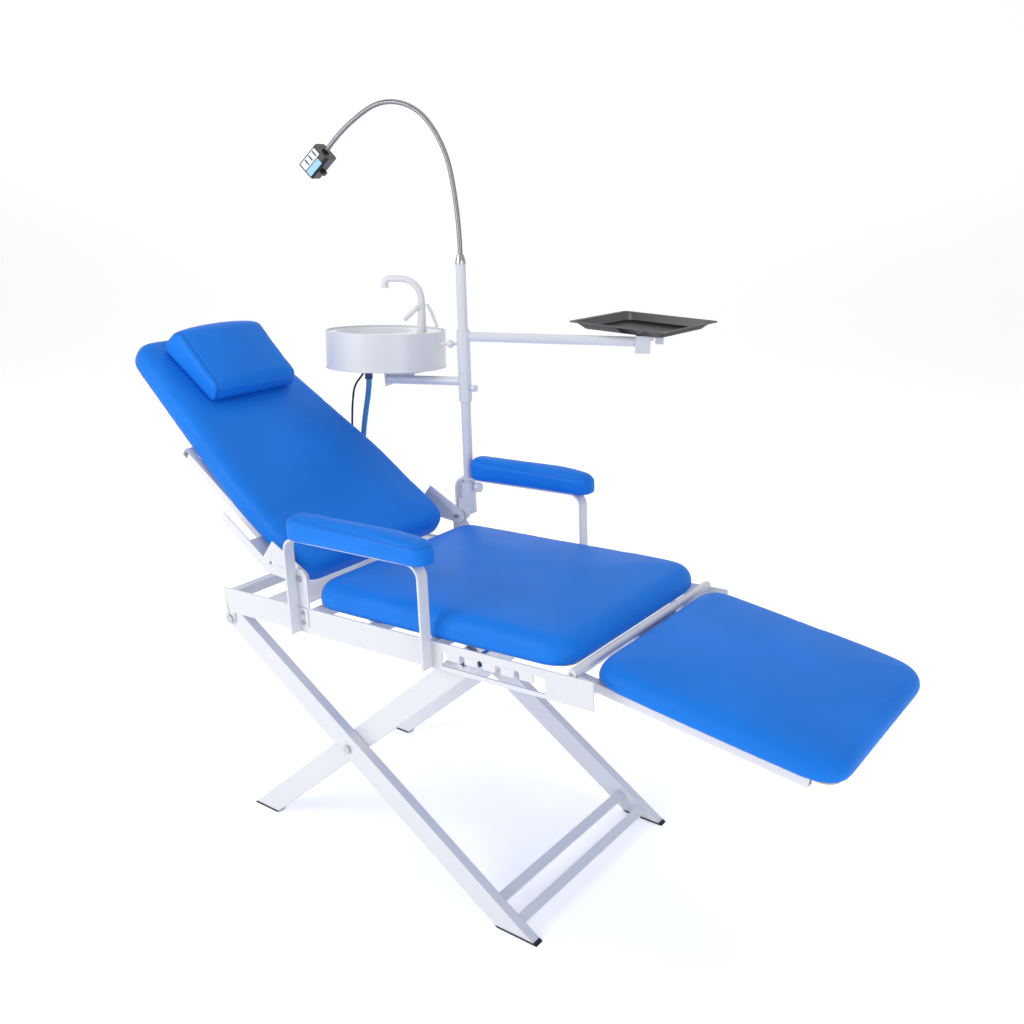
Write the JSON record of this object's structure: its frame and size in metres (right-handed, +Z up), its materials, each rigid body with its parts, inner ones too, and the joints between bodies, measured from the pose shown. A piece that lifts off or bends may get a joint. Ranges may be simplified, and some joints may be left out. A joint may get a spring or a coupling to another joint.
{
  "type": "folding dental chair",
  "caption": "Folding dental chair with scissor legs, reclining backrest, leg rest, armrests and a pole carrying a lamp, tray and rinsing basin.",
  "frame": {"origin": "floor level under the middle of the whole chair's box, hoses not counted", "axes": "+X towards the foot end, +Y towards the patient's left, where the pole is, +Z up"},
  "size_m": [1.6781, 0.9329, 1.4698],
  "materials": {
    "white_paint": "satin",
    "blue_vinyl": "satin",
    "plywood": "matte",
    "zinc_steel": "satin",
    "flex_steel": "satin",
    "stainless": "satin",
    "black_rubber": "matte",
    "black_plastic": "satin",
    "white_plastic": "gloss",
    "lens": "gloss",
    "pale_hose": "gloss",
    "blue_plastic": "satin",
    "navy_tube": "satin"
  },
  "bodies": {
    "seat_frame": {"rail_right": "white_paint", "rail_left": "white_paint", "seat_cross_members": "white_paint", "rear_cover_plate": "white_paint", "seat_board": "plywood", "seat_cushion": "blue_vinyl", "arm_bracket_right": "white_paint", "arm_bracket_left": "white_paint", "arm_pad_right": "blue_vinyl", "arm_pad_left": "blue_vinyl", "arm_screws": "zinc_steel", "backrest_hinge_pins": "zinc_steel", "leg_hinge_bolts": "zinc_steel", "legrest_hinge_tubes": "white_paint", "legrest_hinge_pin": "zinc_steel", "pole_socket": "white_paint"},
    "outer_legs": {"outer_leg_right": "white_paint", "outer_leg_left": "white_paint", "front_crossbars": "white_paint", "front_foot_caps": "black_rubber", "crossing_bolts": "zinc_steel"},
    "inner_legs": {"inner_leg_right": "white_paint", "inner_leg_left": "white_paint", "latch_rod": "zinc_steel", "rear_foot_caps": "black_rubber"},
    "backrest": {"backrest_bracket_right": "white_paint", "backrest_bracket_left": "white_paint", "backrest_frame": "white_paint", "backrest_board": "plywood", "backrest_cushion": "blue_vinyl"},
    "pillow": {"head_pillow": "blue_vinyl"},
    "legrest": {"legrest_frame": "white_paint", "legrest_board": "plywood", "legrest_cushion": "blue_vinyl"},
    "pole": {"pole": "white_paint", "pole_ferrule": "zinc_steel"},
    "socket_knob": {"socket_knob": "white_plastic"},
    "neck": {"gooseneck": "flex_steel", "lamp_housing": "black_plastic", "lamp_lens": "lens"},
    "lamp_knob": {"lamp_knob": "black_plastic"},
    "tray_arm": {"tray_arm": "white_paint", "tray_bracket": "white_paint"},
    "tray_knob": {"tray_knob": "white_plastic"},
    "tray_holder": {"tray_holder": "white_paint"},
    "tray": {"tray": "stainless"},
    "basin": {"basin_arm": "white_paint", "basin_bracket": "white_paint", "basin_pad": "black_rubber", "basin_drum": "white_plastic", "basin_bowl": "white_plastic", "faucet_column": "white_plastic", "drain_connector": "blue_plastic", "drain_hose": "pale_hose", "supply_tube": "navy_tube", "supply_plug": "black_plastic"},
    "basin_knob": {"basin_knob": "white_plastic"},
    "spout": {"faucet_spout": "white_plastic"},
    "lever": {"faucet_lever": "white_plastic"}
  },
  "joints": [
    {"name": "legs_fold", "type": "hinge", "parent": "seat_frame", "child": "outer_legs", "pos_m": [-0.44016, -0.176, 0.4438], "axis": [0, -1, 0], "range_deg": [0, 33.5]},
    {"name": "legs_cross", "type": "hinge", "parent": "outer_legs", "child": "inner_legs", "pos_m": [-0.12247, -0.176, 0.24759], "axis": [0, -1, 0], "range_deg": [-66.98, 0]},
    {"name": "backrest_recline", "type": "hinge", "parent": "seat_frame", "child": "backrest", "pos_m": [-0.23078, -0.176, 0.58208], "axis": [0, 1, 0], "range_deg": [-27, 6]},
    {"name": "pillow_shift", "type": "slide", "parent": "backrest", "child": "pillow", "axis": [-0.8387, 0, 0.5446], "range_m": [-0.03, 0.03]},
    {"name": "legrest_lift", "type": "hinge", "parent": "seat_frame", "child": "legrest", "pos_m": [0.38901, -0.176, 0.56203], "axis": [0, -1, 0], "range_deg": [0, 40]},
    {"name": "pole_lift", "type": "slide", "parent": "seat_frame", "child": "pole", "axis": [-0.0464, 0, 0.9989], "range_m": [0, 0.04]},
    {"name": "socket_knob_turn", "type": "hinge", "parent": "seat_frame", "child": "socket_knob", "pos_m": [-0.20027, 0.0877, 0.65077], "axis": [0.9989, 0, 0.0464], "range_deg": [-360, 90]},
    {"name": "neck_swivel", "type": "hinge", "parent": "pole", "child": "neck", "pos_m": [-0.23932, 0.0877, 1.15449], "axis": [-0.0464, 0, 0.9989], "range_deg": [-120, 120]},
    {"name": "lamp_knob_turn", "type": "hinge", "parent": "neck", "child": "lamp_knob", "pos_m": [-0.55354, 0.0035, 1.32278], "axis": [0.683, 0.183, -0.7071], "range_deg": [-60, 60]},
    {"name": "tray_arm_swivel", "type": "hinge", "parent": "pole", "child": "tray_arm", "pos_m": [-0.23184, 0.0877, 0.98546], "axis": [-0.0464, 0, 0.9989], "range_deg": [-75, 30]},
    {"name": "tray_knob_turn", "type": "hinge", "parent": "tray_arm", "child": "tray_knob", "pos_m": [-0.23111, 0.0877, 0.96968], "axis": [0.882, 0.4695, 0.041], "range_deg": [-360, 90]},
    {"name": "tray_turn", "type": "hinge", "parent": "tray_arm", "child": "tray_holder", "pos_m": [0.12394, 0.28329, 0.99946], "axis": [0, 0, 1], "range_deg": [-90, 90]},
    {"name": "tray_lift_off", "type": "slide", "parent": "tray_holder", "child": "tray", "axis": [0, 0, 1], "range_m": [0, 0.06]},
    {"name": "basin_swivel", "type": "hinge", "parent": "pole", "child": "basin", "pos_m": [-0.22728, 0.0877, 0.88727], "axis": [-0.0464, 0, 0.9989], "range_deg": [-40, 0]},
    {"name": "basin_knob_turn", "type": "hinge", "parent": "basin", "child": "basin_knob", "pos_m": [-0.22665, 0.0877, 0.87378], "axis": [0.9989, 0, 0.0464], "range_deg": [-360, 90]},
    {"name": "spout_swivel", "type": "hinge", "parent": "basin", "child": "spout", "pos_m": [-0.37536, 0.11942, 1.04038], "axis": [-0.0437, 0.0561, 0.9975], "range_deg": [-60, 60]},
    {"name": "lever_lift", "type": "hinge", "parent": "basin", "child": "lever", "pos_m": [-0.36843, 0.12628, 1.03929], "axis": [0.3558, -0.9321, 0.0681], "range_deg": [0, 25]}
  ],
  "couplings": [
    {"joint": "legs_cross", "follows": "legs_fold", "ratio": -1.999}
  ]
}
